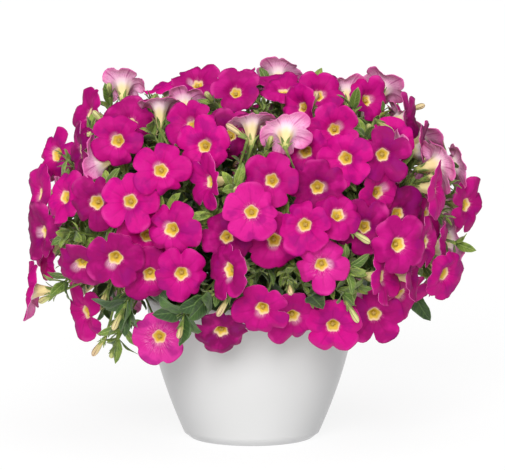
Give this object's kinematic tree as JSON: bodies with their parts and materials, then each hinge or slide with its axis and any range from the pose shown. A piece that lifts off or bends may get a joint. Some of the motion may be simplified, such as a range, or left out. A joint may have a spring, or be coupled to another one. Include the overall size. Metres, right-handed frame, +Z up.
{
  "type": "potted petunia",
  "caption": "Bushy petunia in full bloom, with a round crown of trumpet-shaped flowers, leafy stems and buds, in a plain tapered round pot.",
  "frame": {"origin": "middle of the pot's flat underside", "axes": "+Z up along the pot's axis, -Y towards the side that the picture shows, +X to the viewer's right"},
  "size_m": [0.4418, 0.4376, 0.364],
  "materials": {
    "pot": "smooth satin white",
    "soil": "rough damp potting soil",
    "green": "soft matt leaf",
    "bloom": "velvety petal"
  },
  "bodies": {
    "root": {"pot": "pot", "soil": "soil", "shoot_01": "green", "shoot_02": "green", "shoot_03": "green", "shoot_04": "green", "shoot_05": "green", "shoot_06": "green", "shoot_07": "green", "shoot_08": "green", "shoot_09": "green", "shoot_10": "green", "shoot_11": "green", "shoot_12": "green", "shoot_13": "green", "shoot_14": "green", "shoot_15": "green", "shoot_16": "green", "shoot_17": "green", "shoot_18": "green", "shoot_19": "green", "shoot_20": "green", "shoot_21": "green", "shoot_22": "green", "shoot_23": "green", "shoot_24": "green", "shoot_25": "green", "shoot_26": "green", "shoot_27": "green", "shoot_28": "green", "flowers_01": "bloom", "flowers_02": "bloom", "flowers_03": "bloom", "flowers_04": "bloom", "flowers_05": "bloom", "flowers_06": "bloom", "flowers_07": "bloom", "flowers_08": "bloom", "flowers_09": "bloom", "flowers_10": "bloom", "flowers_11": "bloom", "flowers_12": "bloom", "flowers_13": "bloom", "flowers_14": "bloom", "flowers_15": "bloom", "flowers_16": "bloom", "flowers_17": "bloom", "flowers_18": "bloom", "flowers_19": "bloom", "flowers_20": "bloom", "flowers_21": "bloom", "flowers_22": "bloom", "flowers_23": "bloom", "flowers_24": "bloom", "flowers_25": "bloom", "flowers_26": "bloom", "flowers_27": "bloom", "flowers_28": "bloom"}
  },
  "joints": []
}
